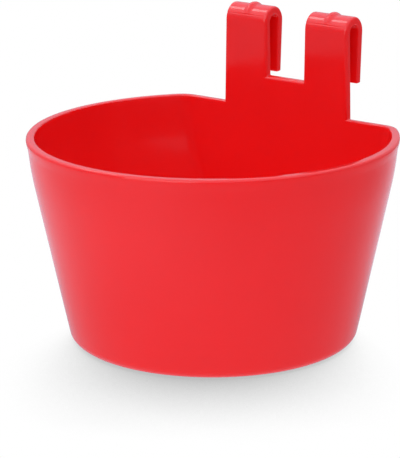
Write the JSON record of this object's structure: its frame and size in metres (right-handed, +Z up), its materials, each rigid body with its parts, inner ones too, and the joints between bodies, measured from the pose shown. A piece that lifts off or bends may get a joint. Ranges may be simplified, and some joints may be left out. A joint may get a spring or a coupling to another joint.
{
  "type": "poultry feeder cup",
  "caption": "Hook-on feeder cup: tapered round bowl with one flat wall, and a tab above it bent into hooks that hang it on a cage wire.",
  "frame": {"origin": "underside of the base, on the axis of the round bowl", "axes": "+Z up out of the bowl, +Y out of the flat back wall towards the cage, +X along the cage wire"},
  "size_m": [0.125, 0.1149, 0.1061],
  "materials": {
    "red_plastic": "gloss"
  },
  "bodies": {
    "root": {"feeder_cup": "red_plastic"}
  },
  "joints": []
}
